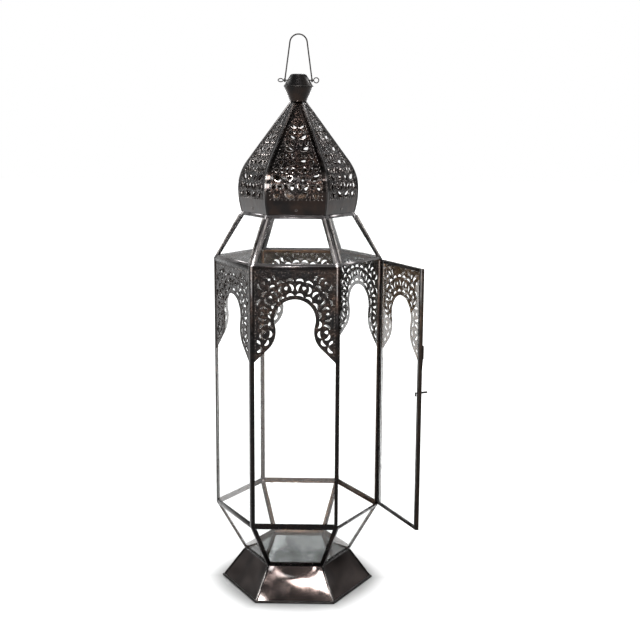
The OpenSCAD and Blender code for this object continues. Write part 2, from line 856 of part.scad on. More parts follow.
module finial_cap() {
    inside = round_centre + (cap_round - finial_wall) * [cos(round_touch), sin(round_touch)];
    color(dark_bronze)
        difference() {
            rotate_extrude() {
                polygon([
                    [0, rim_level], [rim_radius, rim_level], cone_end,
                    round_centre, [round_centre.x, top_level], [0, top_level]
                ]);
                translate(round_centre) circle(cap_round);
            }
            rotate_extrude()
                polygon([
                    [0, rim_level - finial_wall], [rim_radius - 2 * finial_wall, rim_level - finial_wall],
                    [rim_radius - 2 * finial_wall, rim_level], inside, [0, inside.y]
                ]);
            translate([0, 0, pin_level])
                rotate([0, 90, 0])
                    cylinder(h = 3 * rim_radius, r = pin_radius + running_play, center = true);
        }
}

// Wire through the finial, with its ends bent into rings
module handle_pin() {
    length = 2 * (curl_x - curl_radius);
    color(bright_bronze)
        translate([0, 0, pin_level]) {
            rotate([0, 90, 0]) cylinder(h = length, r = pin_radius, center = true);
            for (side = [-1, 1])
                translate([side * curl_x, 0, 0])
                    rotate([90 + (side < 0 ? curl_turn : 0), 0, 0])
                        rotate_extrude()
                            translate([curl_radius, 0]) circle(curl_wire);
        }
}

module bail() {
    wall = (eye_radius + pin_radius) / 2;
    color(bronze)
        for (m = [0, 1])
            mirror([m, 0, 0]) {
                translate([eye_x, 0, pin_level])
                    difference() {
                        union() {
                            rotate([0, 90, 0]) cylinder(h = eye_width, r = eye_radius, center = true);
                            rotate([0, -bend_touch, 0])
                                translate([0, 0, wall])
                                    cylinder(h = leg_length - wall + leg_lap, r = bail_wire - leg_step);
                        }
                        rotate([0, 90, 0])
                            cylinder(h = 2 * eye_width, r = pin_radius + running_play, center = true);
                    }
                intersection() {
                    translate([0, -bail_bend, bend_centre.y]) cube(2 * bail_bend);
                    translate([0, 0, bend_centre.y])
                        rotate([90, 0, 0])
                            rotate([0, 0, bend_touch])
                                rotate_extrude(angle = 120 - bend_touch)
                                    translate([bail_bend, 0]) circle(bail_wire);
                }
            }
}

// Hinge leaf on the right-hand corner of the front face, with the knuckles it owns
module hinge_leaf(start, knuckles) {
    translate([corner_x - hinge_far, face_y - hinge_sheet, start])
        cube([hinge_far - hinge_near, hinge_sheet, hinge_height]);
    for (k = knuckles)
        translate([0, 0, start + k * knuckle + knuckle_gap / 2])
            linear_extrude(knuckle - knuckle_gap)
                difference() {
                    union() {
                        translate([corner_x - hinge_far, face_y - hinge_sheet])
                            square([hinge_axis.x - corner_x + hinge_far, hinge_sheet - knuckle_gap]);
                        translate(hinge_axis) circle(barrel_radius);
                    }
                    translate(hinge_axis) circle(hinge_pin_radius + running_play);
                }
}

module hinge_post_leaves() {
    color(bright_bronze)
        for (start = hinge_starts)
            on_face(door_face + 1)
                mirror([1, 0, 0])
                    hinge_leaf(start, [0, 2]);
}

module door_hinge_leaves() {
    color(bright_bronze) for (start = hinge_starts) on_door() hinge_leaf(start, [1]);
}

module hinge_pins() {
    head = barrel_radius - running_play;
    color(bright_bronze)
        for (start = hinge_starts)
            on_face(door_face)
                translate([hinge_axis.x, hinge_axis.y, start]) {
                    cylinder(h = hinge_height, r = hinge_pin_radius);
                    translate([0, 0, hinge_height]) cylinder(h = hinge_sheet, r = head);
                    translate([0, 0, -hinge_sheet]) cylinder(h = hinge_sheet, r = head);
                }
}

// Stile on the right or left of the closed door, set back from the corner by the door's gap
module door_stile(side) {
    intersection() {
        cell(door[1], door[3], side, door_gap);
        side_came(door, door_leg, door_web);
    }
}

module door_hinge_stile() {
    color(bronze) on_door() door_stile(1);
}

// Places a piece of the catch with its axis pointing out of the door
module on_spindle() {
    translate([spindle_inset - corner_x, face_y, body_level + catch_height])
        rotate([90, 0, 0])
            children();
}

module door_latch_stile() {
    color(bronze)
        on_door()
            difference() {
                door_stile(-1);
                on_spindle() cylinder(h = 2 * spare, r = spindle_radius + running_play, center = true);
            }
}

module door_top_rail() {
    color(bronze) on_door() rail(door, door_leg, true);
}

module door_bottom_rail() {
    color(bronze) on_door() rail(door, door_leg, false);
}

module door_glass() {
    color(clear_glass) on_door() pane(door, door_web);
}

module door_valance() {
    color(dark_bronze)
        on_door()
            face_shape(body, valance_near, valance_far)
                valance_sheet_shape(door_valance_half, door_valance_top, door_leg);
}

// Folded tab with a tapering tail on the outer face of the latch stile
module door_pull() {
    inner = pull_proud - pull_tip;
    color(dark_bronze)
        on_door()
            translate([door_leg - corner_x, face_y, body_level + pull_bottom])
                rotate([90, 0, -90])
                    linear_extrude(pull_width)
                        polygon([
                            [0, 0], [pull_tip, 0], [inner, pull_tail], [pull_proud, pull_tail],
                            [pull_proud, pull_tail + pull_block - pull_tip],
                            [inner, pull_tail + pull_block], [0, pull_tail + pull_block]
                        ]);
}

// Peg outside the door and tongue inside it, on one spindle
module turn_catch() {
    color(bright_bronze)
        on_door()
            on_spindle() {
                translate([0, 0, -tongue_near - tongue_sheet])
                    cylinder(h = tongue_near + tongue_sheet + peg_length / 2, r = spindle_radius);
                translate([0, 0, catch_gap]) cylinder(h = peg_length - peg_radius, r = peg_radius);
                translate([0, 0, catch_gap + peg_length - peg_radius]) sphere(peg_radius);
                translate([0, 0, -tongue_near - tongue_sheet])
                    linear_extrude(tongue_sheet) {
                        circle(tongue_width / 2);
                        translate([-tongue_width / 2, -tongue_length]) square([tongue_width, tongue_length]);
                    }
            }
}

for (i = [1:sides]) base_panel(i);
base_seams();
base_hem();
floor_plate();
lower_base_rails();
lower_top_rails();
lower_ribs();
lower_glass();
for (i = [1:sides]) post(i);
body_bottom_rails();
body_top_rails();
for (i = [1:fixed_count]) body_glass(i);
for (i = [1:fixed_count]) valance(i);
shoulder_base_rails();
shoulder_top_rails();
shoulder_ribs();
shoulder_glass();
dome_ring();
for (i = [1:sides]) dome_panel(i);
dome_ribs();
dome_rivets();
finial_cup();
finial_cap();
handle_pin();
bail();
hinge_post_leaves();
hinge_pins();
door_hinge_leaves();
door_hinge_stile();
door_latch_stile();
door_top_rail();
door_bottom_rail();
door_glass();
door_valance();
door_pull();
turn_catch();
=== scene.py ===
"""Dresses a tall six-sided glazed metal lantern with pierced valances, an onion dome and an open door."""

import logging
import math
import random
from bisect import bisect_left
from dataclasses import dataclass
from enum import Enum
from typing import Iterable, Sequence

import bmesh
import bpy
from mathutils import Matrix, Vector


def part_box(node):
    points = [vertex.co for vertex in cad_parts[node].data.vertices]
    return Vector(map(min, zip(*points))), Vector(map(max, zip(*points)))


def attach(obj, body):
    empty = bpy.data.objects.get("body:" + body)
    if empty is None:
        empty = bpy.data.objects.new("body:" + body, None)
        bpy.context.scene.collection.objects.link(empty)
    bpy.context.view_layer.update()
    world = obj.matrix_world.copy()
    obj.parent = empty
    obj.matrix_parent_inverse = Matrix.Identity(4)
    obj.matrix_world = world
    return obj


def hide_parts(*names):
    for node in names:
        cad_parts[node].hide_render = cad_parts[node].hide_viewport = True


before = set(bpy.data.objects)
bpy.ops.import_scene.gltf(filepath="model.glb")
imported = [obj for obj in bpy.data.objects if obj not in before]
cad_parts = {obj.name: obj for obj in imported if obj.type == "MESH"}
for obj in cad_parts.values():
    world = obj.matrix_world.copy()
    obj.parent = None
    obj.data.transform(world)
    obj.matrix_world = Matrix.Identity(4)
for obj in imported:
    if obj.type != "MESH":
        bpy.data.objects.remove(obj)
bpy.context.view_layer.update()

log = logging.getLogger("lantern")

SIDES = 6
FACE_TURN = math.tau / SIDES
IN_RATIO = math.cos(FACE_TURN / 2)
SIDE_RATIO = math.sin(FACE_TURN / 2)
FIXED_FACES = (0, 2, 3, 4, 5)
DOOR_OUT = (0.906308, 0.422618, 0.0)
DOME_BORDER = 0.0062

# Lengths in metres and angles in radians
JOIN_GAP = 2e-6
SKIN_INSET = 0.0003
STRIP_EDGE = 0.00022
FLAT_ANGLE = 0.004
SHARP_ANGLE = 0.7
CRISP = 0.5

# Facing of a sheet's skin, as cosines
FACES_OUT = 0.6
FACES_ASIDE = 0.05
SAME_SKIN = 0.9

# Facets of round pieces
ROD_SIDES = 10
RING_STEPS = 72
BEAD_SIDES = 8
BEAD_RINGS = 6

# Places of the colour sockets on a Mix node
MIX_COLOURS = (6, 7)
MIX_RESULT = 2

Colour = tuple[float, float, float]
Socket = bpy.types.NodeSocket
Material = bpy.types.Material
BMesh = bmesh.types.BMesh
BMFace = bmesh.types.BMFace
BMVert = bmesh.types.BMVert


class Slot(Enum):
    """Names of material slots, one for each kind of new piece."""

    CAME = "came_metal"
    PIERCED = "pierced_metal"
    FOOT = "foot_metal"
    BRIGHT = "bright_metal"
    TIN = "tin_plate"


class Body(Enum):
    """Bodies that new pieces ride on."""

    LANTERN = "lantern"
    DOOR = "door"


class Facing(Enum):
    """What tells the inner side of a metal from its outer side."""

    AXIS = "from the axis"
    DOOR = "door's outer side"


@dataclass(frozen=True)
class Field:
    """Middle of six-sided panels between two levels, inside a plain border along the seams."""

    low: float
    high: float
    border: float
    fade: float = 0.001


def fill(node: bpy.types.Node, **values: float | Colour) -> None:
    """Sets plain values on a node's sockets.

    Args:
        node: The node.
        values: Values by the name of their socket, with spaces written as underscores.
    """
    for name, value in values.items():
        socket = node.inputs[name.replace("_", " ")]
        socket.default_value = (*value, 1.0) if socket.type == "RGBA" else value


class Sheet:
    """Node tree of one material, with short calls for the nodes that the finishes share."""

    def __init__(self, name: str) -> None:
        """Starts a material that holds one shader and its output.

        Args:
            name: Name of the material.
        """
        self.material = bpy.data.materials.new(name)
        self.material.use_nodes = True
        self.tree = self.material.node_tree
        self.tree.nodes.clear()
        self.output = self.node("OutputMaterial")
        self.shader = self.node("BsdfPrincipled")
        self.place = self.node("TexCoord")
        self.join(self.shader.outputs[0], self.output.inputs["Surface"])

    def node(self, kind: str, **options: str) -> bpy.types.Node:
        """Adds a node.

        Args:
            kind: Kind of node, without the prefix that shader nodes share.
            options: Options of the node, by name.

        Returns:
            The new node.
        """
        made = self.tree.nodes.new(f"ShaderNode{kind}")
        for name, value in options.items():
            setattr(made, name, value)
        return made

    def join(self, source: Socket, target: Socket) -> None:
        """Links one socket to another."""
        self.tree.links.new(source, target)

    def put(self, **values: float | Colour) -> None:
        """Sets plain values on the shader's sockets."""
        fill(self.shader, **values)

    def feed(self, name: str, source: Socket) -> None:
        """Links a socket to the shader's socket of this name."""
        self.join(source, self.shader.inputs[name])

    def noise(self, size: float, detail: float = 3.0, twist: float = 0.0,
              stretch: Colour = (1.0, 1.0, 1.0)) -> Socket:
        """Noise over the piece.

        Args:
            size: Size of its features in metres.
            detail: Number of finer layers.
            twist: How far the pattern is distorted.
            stretch: Scale along each axis.

        Returns:
            A value from 0 to 1.
        """
        mapping = self.node("Mapping")
        fill(mapping, Scale=stretch)
        self.join(self.place.outputs["Object"], mapping.inputs["Vector"])
        node = self.node("TexNoise")
        fill(node, Scale=1.0 / size, Detail=detail, Distortion=twist)
        self.join(mapping.outputs["Vector"], node.inputs["Vector"])
        return node.outputs["Fac"]

    def span(self, value: Socket, low: float, high: float, start: float = 0.3, end: float = 0.7,
             ease: bool = False) -> Socket:
        """Maps a value from one range to another, held at its ends.

        Args:
            value: The value to map.
            low: Result at the start of the range.
            high: Result at its end.
            start: Start of the range.
            end: End of the range.
            ease: Whether it starts and ends softly.

        Returns:
            The mapped value.
        """
        node = self.node("MapRange", interpolation_type="SMOOTHSTEP" if ease else "LINEAR")
        fill(node, From_Min=start, From_Max=end, To_Min=low, To_Max=high)
        self.join(value, node.inputs["Value"])
        return node.outputs["Result"]

    def share(self, value: Socket, start: float, end: float, ease: bool = False) -> Socket:
        """Turns a value into a share, from 0 at the start of a range to 1 at its end."""
        return self.span(value, 0.0, 1.0, start, end, ease)

    def mix(self, share: Socket, first: Socket | Colour, second: Socket | Colour) -> Socket:
        """Mixes two colours.

        Args:
            share: Share of the second colour.
            first: Colour where the share is 0.
            second: Colour where it is 1.

        Returns:
            The mixed colour.
        """
        node = self.node("Mix", data_type="RGBA")
        self.join(share, node.inputs["Factor"])
        for colour, place in zip((first, second), MIX_COLOURS):
            if isinstance(colour, tuple):
                node.inputs[place].default_value = (*colour, 1.0)
            else:
                self.join(colour, node.inputs[place])
        return node.outputs[MIX_RESULT]

    def calc(self, operation: str, first: Socket, second: Socket | float = 0.0) -> Socket:
        """Joins two values by an operation of arithmetic.

        Args:
            operation: Name of the operation.
            first: First value.
            second: Second value, where the operation needs one.

        Returns:
            The result.
        """
        node = self.node("Math", operation=operation)
        self.join(first, node.inputs[0])
        if isinstance(second, float):
            node.inputs[1].default_value = second
        else:
            self.join(second, node.inputs[1])
        return node.outputs[0]

    def along(self, way: Vector) -> Socket:
        """Distance of a point from the middle, along a direction.

        Args:
            way: The direction.

        Returns:
            The distance.
        """
        dot = self.node("VectorMath", operation="DOT_PRODUCT")
        dot.inputs[1].default_value = way
        self.join(self.place.outputs["Object"], dot.inputs[0])
        return dot.outputs["Value"]

    def hexagon(self) -> Socket:
        """Distance of a point from the axis, square to the nearest of the six faces.

        Returns:
            The distance.
        """
        reaches = [self.calc("ABSOLUTE", self.along(face_way(face))) for face in range(SIDES // 2)]
        return self.calc("MAXIMUM", self.calc("MAXIMUM", reaches[0], reaches[1]), reaches[2])

    def middle(self, field: Field) -> Socket:
        """Finds the middle of six-sided panels.

        Args:
            field: Levels and border of the middle.

        Returns:
            1 in the middle of the panels, 0 on their borders.
        """
        reach = self.hexagon()
        squares = [self.calc("POWER", self.calc("ABSOLUTE", self.along(Vector(way))), 2.0)
                   for way in ((1.0, 0.0, 0.0), (0.0, 1.0, 0.0))]
        side = self.calc("SUBTRACT", self.calc("ADD", *squares), self.calc("POWER", reach, 2.0))
        side = self.calc("SQRT", self.calc("MAXIMUM", side, 0.0))
        gap = self.calc("SUBTRACT", self.calc("MULTIPLY", reach, SIDE_RATIO / IN_RATIO), side)
        level = self.along(up(1.0))
        inner = self.share(gap, field.border - field.fade, field.border + field.fade, True)
        above = self.share(level, field.low - field.fade, field.low + field.fade, True)
        below = self.span(level, 1.0, 0.0, field.high - 2 * field.fade, field.high + 2 * field.fade, True)
        return self.calc("MULTIPLY", self.calc("MULTIPLY", inner, above), below)

    def bump(self, height: Socket, strength: float, depth: float, under: Socket | None = None) -> Socket:
        """Turns a height into a bumpy normal.

        Args:
            height: Height from 0 to 1.
            strength: Strength of the effect.
            depth: Depth in metres of a height of 1.
            under: Normal to bump further, if any.

        Returns:
            The bumped normal.
        """
        node = self.node("Bump")
        fill(node, Strength=strength, Distance=depth)
        self.join(height, node.inputs["Height"])
        if under is not None:
            self.join(under, node.inputs["Normal"])
        return node.outputs["Normal"]

    def inside(self, facing: Facing) -> Socket:
        """Finds the side of the metal that looks inwards.

        Args:
            facing: What inwards is measured from.

        Returns:
            1 on faces that look inwards, 0 on those that look outwards.
        """
        dot = self.node("VectorMath", operation="DOT_PRODUCT")
        self.join(self.place.outputs["Normal"], dot.inputs[0])
        if facing is Facing.DOOR:
            dot.inputs[1].default_value = DOOR_OUT
        else:
            level = self.node("VectorMath", operation="MULTIPLY")
            level.inputs[1].default_value = (1.0, 1.0, 0.0)
            self.join(self.place.outputs["Object"], level.inputs[0])
            radial = self.node("VectorMath", operation="NORMALIZE")
            self.join(level.outputs[0], radial.inputs[0])
            self.join(radial.outputs[0], dot.inputs[1])
        return self.share(dot.outputs["Value"], -0.05, -0.4)


@dataclass(frozen=True)
class AgedMetal:
    """Dark lacquered sheet metal with a brown tarnish, browner where it looks inwards."""

    name: str
    dark: Colour = (0.0052, 0.0046, 0.0046)
    tarnish: Colour = (0.015, 0.0096, 0.0074)
    inner: Colour = (0.026, 0.0155, 0.0098)
    inner_pale: Colour = (0.056, 0.034, 0.022)
    coat: float = 0.14
    gloss: float = 0.16
    dull: float = 0.36
    inner_dull: float = 0.16
    grain: float = 0.10
    crinkle: float = 0.0
    crinkle_size: float = 0.0045
    crinkle_depth: float = 0.0012
    field: Field | None = None
    facing: Facing = Facing.AXIS

    def make(self) -> Material:
        """Builds the finish.

        Returns:
            Its material.
        """
        sheet = Sheet(self.name)
        patches = sheet.share(sheet.noise(0.022, detail=5.0, twist=0.6), 0.42, 0.66)
        outer = sheet.mix(patches, self.dark, self.tarnish)
        rust = sheet.share(sheet.noise(0.009, detail=6.0, twist=1.2), 0.40, 0.68)
        inner = sheet.mix(rust, self.inner, self.inner_pale)
        inside = sheet.inside(self.facing)
        sheet.feed("Base Color", sheet.mix(inside, outer, inner))
        smear = sheet.span(sheet.noise(0.006, detail=4.0), self.gloss, self.dull)
        sheet.feed("Roughness", sheet.calc("ADD", smear, sheet.calc("MULTIPLY", inside, self.inner_dull)))
        sheet.put(Metallic=1.0, Coat_Weight=self.coat, Coat_Roughness=0.09)
        normal = sheet.bump(sheet.noise(0.0011), self.grain, depth=0.0002)
        normal = sheet.bump(sheet.noise(0.012, detail=2.0), 0.35, depth=0.0006, under=normal)
        if self.crinkle:
            folds = sheet.noise(self.crinkle_size, detail=1.0, twist=1.4)
            if self.field:
                folds = sheet.calc("MULTIPLY", folds, sheet.middle(self.field))
            normal = sheet.bump(folds, self.crinkle, self.crinkle_depth, normal)
        sheet.feed("Normal", normal)
        return sheet.material


@dataclass(frozen=True)
class PolishedMetal:
    """Smooth dark metal that mirrors its surroundings, with soft dents, scratches and a warm tint."""

    name: str
    dark: Colour
    warm: Colour
    gloss: float
    dull: float
    dent: float = 0.7
    dent_size: float = 0.055

    def make(self) -> Material:
        """Builds the finish.

        Returns:
            Its material.
        """
        sheet = Sheet(self.name)
        tint = sheet.share(sheet.noise(0.035, detail=4.0, twist=0.8), 0.38, 0.62)
        sheet.feed("Base Color", sheet.mix(tint, self.dark, self.warm))
        sheet.feed("Roughness", sheet.span(sheet.noise(0.014, detail=5.0, twist=0.4), self.gloss, self.dull))
        sheet.put(Metallic=1.0, Coat_Weight=0.15, Coat_Roughness=0.05)
        normal = sheet.bump(sheet.noise(0.0016, detail=4.0, stretch=(1.0, 1.0, 0.2)), 0.05, depth=0.0002)
        dents = sheet.noise(self.dent_size, detail=1.0)
        sheet.feed("Normal", sheet.bump(dents, self.dent, depth=0.0014, under=normal))
        return sheet.material


@dataclass(frozen=True)
class BareMetal:
    """Bare worn metal, such as tin plate, wire or solder, with fine scratches along one axis."""

    name: str
    pale: Colour
    grey: Colour
    gloss: float
    dull: float
    scratch: Colour = (1.0, 0.12, 1.0)
    scratch_depth: float = 0.00015

    def make(self) -> Material:
        """Builds the finish.

        Returns:
            Its material.
        """
        sheet = Sheet(self.name)
        cloud = sheet.share(sheet.noise(0.018, detail=5.0, twist=0.7), 0.36, 0.66)
        sheet.feed("Base Color", sheet.mix(cloud, self.pale, self.grey))
        sheet.feed("Roughness", sheet.span(sheet.noise(0.007, detail=5.0), self.gloss, self.dull))
        sheet.put(Metallic=1.0)
        normal = sheet.bump(sheet.noise(0.0014, stretch=self.scratch), 0.12, self.scratch_depth)
        sheet.feed("Normal", sheet.bump(sheet.noise(0.03, detail=1.0), 0.15, depth=0.0006, under=normal))
        return sheet.material


@dataclass(frozen=True)
class ClearGlass:
    """Clear sheet glass with a faint ripple and smears, which lets lamps through."""

    name: str
    tint: Colour = (0.985, 0.992, 0.990)
    smear: float = 0.03

    def make(self) -> Material:
        """Builds the finish.

        Returns:
            Its material.
        """
        sheet = Sheet(self.name)
        sheet.put(Base_Color=self.tint, Transmission_Weight=1.0, IOR=1.45)
        smears = sheet.noise(0.03, detail=5.0, twist=0.5)
        sheet.feed("Roughness", sheet.span(smears, 0.0, self.smear, start=0.5, end=0.75))
        sheet.feed("Normal", sheet.bump(sheet.noise(0.06, detail=1.0), 0.05, depth=0.0004))
        path = sheet.node("LightPath")
        clear = sheet.node("BsdfTransparent")
        fill(clear, Color=self.tint)
        mixed = sheet.node("MixShader")
        sheet.join(path.outputs["Is Shadow Ray"], mixed.inputs[0])
        sheet.join(sheet.shader.outputs[0], mixed.inputs[1])
        sheet.join(clear.outputs[0], mixed.inputs[2])
        sheet.join(mixed.outputs[0], sheet.output.inputs["Surface"])
        return sheet.material


@dataclass(frozen=True)
class Palette:
    """Finishes of the lantern, made once."""

    came: Material
    door_came: Material
    pierced: Material
    door_pierced: Material
    dome: Material
    worn: Material
    dark_wear_and_glint: Material
    rib: Material
    seam: Material
    foot: Material
    finial: Material
    tin: Material
    wire: Material
    solder: Material
    glass: Material

    @classmethod
    def mix(cls) -> "Palette":
        """Makes every finish.

        Returns:
            The finishes.
        """
        dark_tarnish = (0.0095, 0.0064, 0.0052)
        finishes = {
            "came": AgedMetal("dark_came", tarnish=dark_tarnish, coat=0.06),
            "door_came": AgedMetal(
                "dark_door_came", tarnish=dark_tarnish, inner=(0.0070, 0.0056, 0.0048),
                inner_pale=(0.0160, 0.0108, 0.0078), coat=0.06, facing=Facing.DOOR),
            # The fixed sheets' inner side is darker and greyer than the door sheet's: painted shade inside
            # the lantern
            "pierced": AgedMetal(
                "crinkled_bronze", inner=(0.018, 0.0152, 0.013), inner_pale=(0.034, 0.0275, 0.0225),
                crinkle=0.9),
            "door_pierced": AgedMetal(
                "crinkled_door_bronze", inner=(0.055, 0.032, 0.016), inner_pale=(0.115, 0.071, 0.038),
                crinkle=0.9, facing=Facing.DOOR),
            # The dome's inner side is darker than the plain inner finish: painted shade inside the dome, so
            # its holes read dark
            "dome": AgedMetal(
                "glossy_dome_bronze", dark=(0.0070, 0.0060, 0.0058), tarnish=(0.016, 0.0102, 0.0080),
                inner=(0.016, 0.011, 0.008), inner_pale=(0.034, 0.022, 0.015), coat=0.1, gloss=0.05,
                dull=0.11, grain=0.02, crinkle=1.0, crinkle_size=0.0055, crinkle_depth=0.0018,
                field=Field(low=0.5194, high=0.6360, border=DOME_BORDER)),
            # Raised lips, beads and dots: brighter metal, partly wear on high spots and partly a painted
            # glint that makes them catch more light
            "worn": BareMetal("wear_and_painted_glint", (0.110, 0.100, 0.095), (0.035, 0.030, 0.027), 0.06, 0.18),
            "dark_wear_and_glint": BareMetal(
                "dark_wear_and_painted_glint", (0.062, 0.054, 0.050), (0.020, 0.0166, 0.0146), 0.08, 0.20),
            "rib": PolishedMetal(
                "bright_shoulder_came", (0.060, 0.056, 0.057), (0.120, 0.111, 0.110), 0.10, 0.26, dent=0.15),
            "seam": PolishedMetal(
                "dark_seam_came", (0.009, 0.008, 0.0077), (0.019, 0.0164, 0.0152), 0.10, 0.26, dent=0.15),
            "foot": PolishedMetal(
                "mirror_foot_bronze", (0.018, 0.0138, 0.0128), (0.036, 0.0265, 0.0238), 0.03, 0.09),
            "finial": AgedMetal("spun_finial_bronze", gloss=0.28, dull=0.46),
            "tin": BareMetal("tin_floor", (0.350, 0.370, 0.368), (0.280, 0.296, 0.296), 0.06, 0.12),
            "wire": BareMetal("drawn_wire", (0.020, 0.0185, 0.0175), (0.010, 0.0092, 0.0088), 0.34, 0.48),
            "solder": BareMetal("old_solder", (0.300, 0.280, 0.270), (0.080, 0.070, 0.065), 0.20, 0.42),
            "glass": ClearGlass("clear_sheet_glass"),
        }
        return cls(**{use: finish.make() for use, finish in finishes.items()})


def to_face(face: int) -> Matrix:
    """Turn about the axis that carries a piece from the front face to another."""
    return Matrix.Rotation(FACE_TURN * face, 4, "Z")


def face_way(face: int) -> Vector:
    """Level direction from the axis to the middle of a face."""
    return to_face(face) @ Vector((0.0, -1.0, 0.0))


def corner_way(corner: int) -> Vector:
    """Level direction from the axis to the corner on the right of a face."""
    return to_face(corner) @ Vector((SIDE_RATIO, -IN_RATIO, 0.0))


def beside(way: Vector) -> Vector:
    """Level direction to the right of a side that looks this way."""
    return Vector((-way.y, way.x, 0.0))


def up(level: float) -> Vector:
    """Point on the axis at a level."""
    return Vector((0.0, 0.0, level))


def merged_copy(*nodes: str) -> BMesh:
    """Copies the meshes of CAD nodes with their loose triangles joined.

    Args:
        nodes: Names of the nodes.

    Returns:
        A new mesh that holds all of them.
    """
    bm = bmesh.new()
    for node in nodes:
        bm.from_mesh(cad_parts[node].data)
    bmesh.ops.remove_doubles(bm, verts=bm.verts, dist=JOIN_GAP)
    return bm


def add_object(name: str, data: bpy.types.ID) -> bpy.types.Object:
    """Puts a new object into the scene.

    Args:
        name: Name of the object.
        data: Its mesh, curve, light or camera.

    Returns:
        The object.
    """
    made = bpy.data.objects.new(name, data)
    bpy.context.scene.collection.objects.link(made)
    return made


def keep_piece(name: str, bm: BMesh, body: Body, slot: Slot, *materials: Material,
               stands_for: Sequence[str] = (), smooth: float = 0.6) -> bpy.types.Object:
    """Turns a mesh into a finished piece that rides on a body.

    Args:
        name: Name of the piece.
        bm: Its mesh, which is used up.
        body: Body that it moves with.
        slot: Not used.
        materials: Its finish, then the finish of its high spots if they have one.
        stands_for: CAD nodes that it replaces.
        smooth: Angle in radians above which an edge stays sharp.

    Returns:
        The new object.
    """
    mesh = bpy.data.meshes.new(name)
    bm.to_mesh(mesh)
    bm.free()
    for layer in ("custom_normal", "sharp_face", "sharp_edge"):
        if layer in mesh.attributes:
            mesh.attributes.remove(mesh.attributes[layer])
    for material in materials:
        mesh.materials.append(material)
    mesh.shade_smooth()
    mesh.set_sharp_from_angle(angle=smooth)
    piece = add_object(name, mesh)
    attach(piece, body.value)
    if stands_for:
        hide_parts(*stands_for)
    log.info("%s: %d faces on %s", name, len(mesh.polygons), body.value)
    return piece


def dress(material: Material, *nodes: str) -> None:
    """Gives CAD nodes that stay in sight their finish.

    Args:
        material: The finish.
        nodes: Names of the nodes.
    """
    for node in nodes:
        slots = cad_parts[node].material_slots
        for place in slots:
            place.material = material
        if not slots:
            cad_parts[node].data.materials.append(material)
        log.info("%s: finish %s", node, material.name)


def soften(bm: BMesh, width: float) -> None:
    """Rounds the sharp edges of a mesh, after the flat faces between them are made whole.

    Args:
        bm: The mesh.
        width: Width of the rounding in metres.
    """
    bmesh.ops.dissolve_limit(bm, angle_limit=FLAT_ANGLE, verts=bm.verts, edges=bm.edges)
    sharp = [e for e in bm.edges if len(e.link_faces) == 2 and e.calc_face_angle(0.0) > SHARP_ANGLE]
    bmesh.ops.bevel(bm, geom=sharp, offset=width, offset_type="OFFSET", segments=2, profile=0.5,
                    affect="EDGES", clamp_overlap=True, material=-1)


def make_strip(node: str, body: Body, material: Material) -> None:
    """Makes the folded strips of one node with rounded edges.

    Args:
        node: Name of the node.
        body: Body that they move with.
        material: Their finish.
    """
    bm = merged_copy(node)
    soften(bm, STRIP_EDGE)
    keep_piece(f"{node}_strip", bm, body, Slot.CAME, material, stands_for=[node], smooth=CRISP)


def add_rod(bm: BMesh, start: Vector, end: Vector, radius: float, sides: int = ROD_SIDES) -> None:
    """Adds a round bar between two points.

    Args:
        bm: The mesh it goes into.
        start: Middle of one end.
        end: Middle of the other.
        radius: Radius of the bar.
        sides: Number of flats round it.
    """
    way = end - start
    place = Matrix.Translation((start + end) / 2) @ way.to_track_quat("Z", "Y").to_matrix().to_4x4()
    bmesh.ops.create_cone(bm, cap_ends=True, segments=sides, radius1=radius, radius2=radius,
                          depth=way.length, matrix=place)


def absorb(bm: BMesh, mesh: bpy.types.Mesh) -> None:
    """Adds a loose mesh to another as high spots, which have the piece's second finish.

    Args:
        bm: The mesh it goes into.
        mesh: The loose mesh, which is used up.
    """
    mesh.materials.clear()
    mesh.polygons.foreach_set("material_index", [1] * len(mesh.polygons))
    bm.from_mesh(mesh)
    bpy.data.meshes.remove(mesh)


def add_beads(bm: BMesh, spots: Iterable[tuple[Vector, Vector]], radius: float, flat: float = 0.8) -> None:
    """Adds small round beads.

    Args:
        bm: The mesh they go into.
        spots: Middle of each bead, and the direction in which it is flattened.
        radius: Their radius.
        flat: Their thickness as a share of their width.
    """
    beads = bmesh.new()
    for place, way in spots:
        turn = way.to_track_quat("Z", "Y").to_matrix().to_4x4()
        shape = Matrix.Translation(place) @ turn @ Matrix.Diagonal((1.0, 1.0, flat, 1.0))
        bmesh.ops.create_uvsphere(beads, u_segments=BEAD_SIDES, v_segments=BEAD_RINGS, radius=radius,
                                  matrix=shape)
    mesh = bpy.data.meshes.new("beads")
    beads.to_mesh(mesh)
    beads.free()
    absorb(bm, mesh)


def add_ring(bm: BMesh, centre: Vector, radius: float, wire: float) -> None:
    """Adds a level ring of round wire.

    Args:
        bm: The mesh it goes into.
        centre: Middle of the ring.
        radius: Radius to the middle of the wire.
        wire: Radius of the wire.
    """
    place = Matrix.Translation(centre + Vector((radius, 0.0, 0.0))) @ Matrix.Rotation(math.pi / 2, 4, "X")
    loop = bmesh.ops.create_circle(bm, radius=wire, segments=ROD_SIDES, matrix=place)["verts"]
    edges = dict.fromkeys(edge for vert in loop for edge in vert.link_edges)
    bmesh.ops.spin(bm, geom=[*loop, *edges], cent=centre, axis=(0.0, 0.0, 1.0), angle=math.tau,
                   steps=RING_STEPS, use_merge=True)


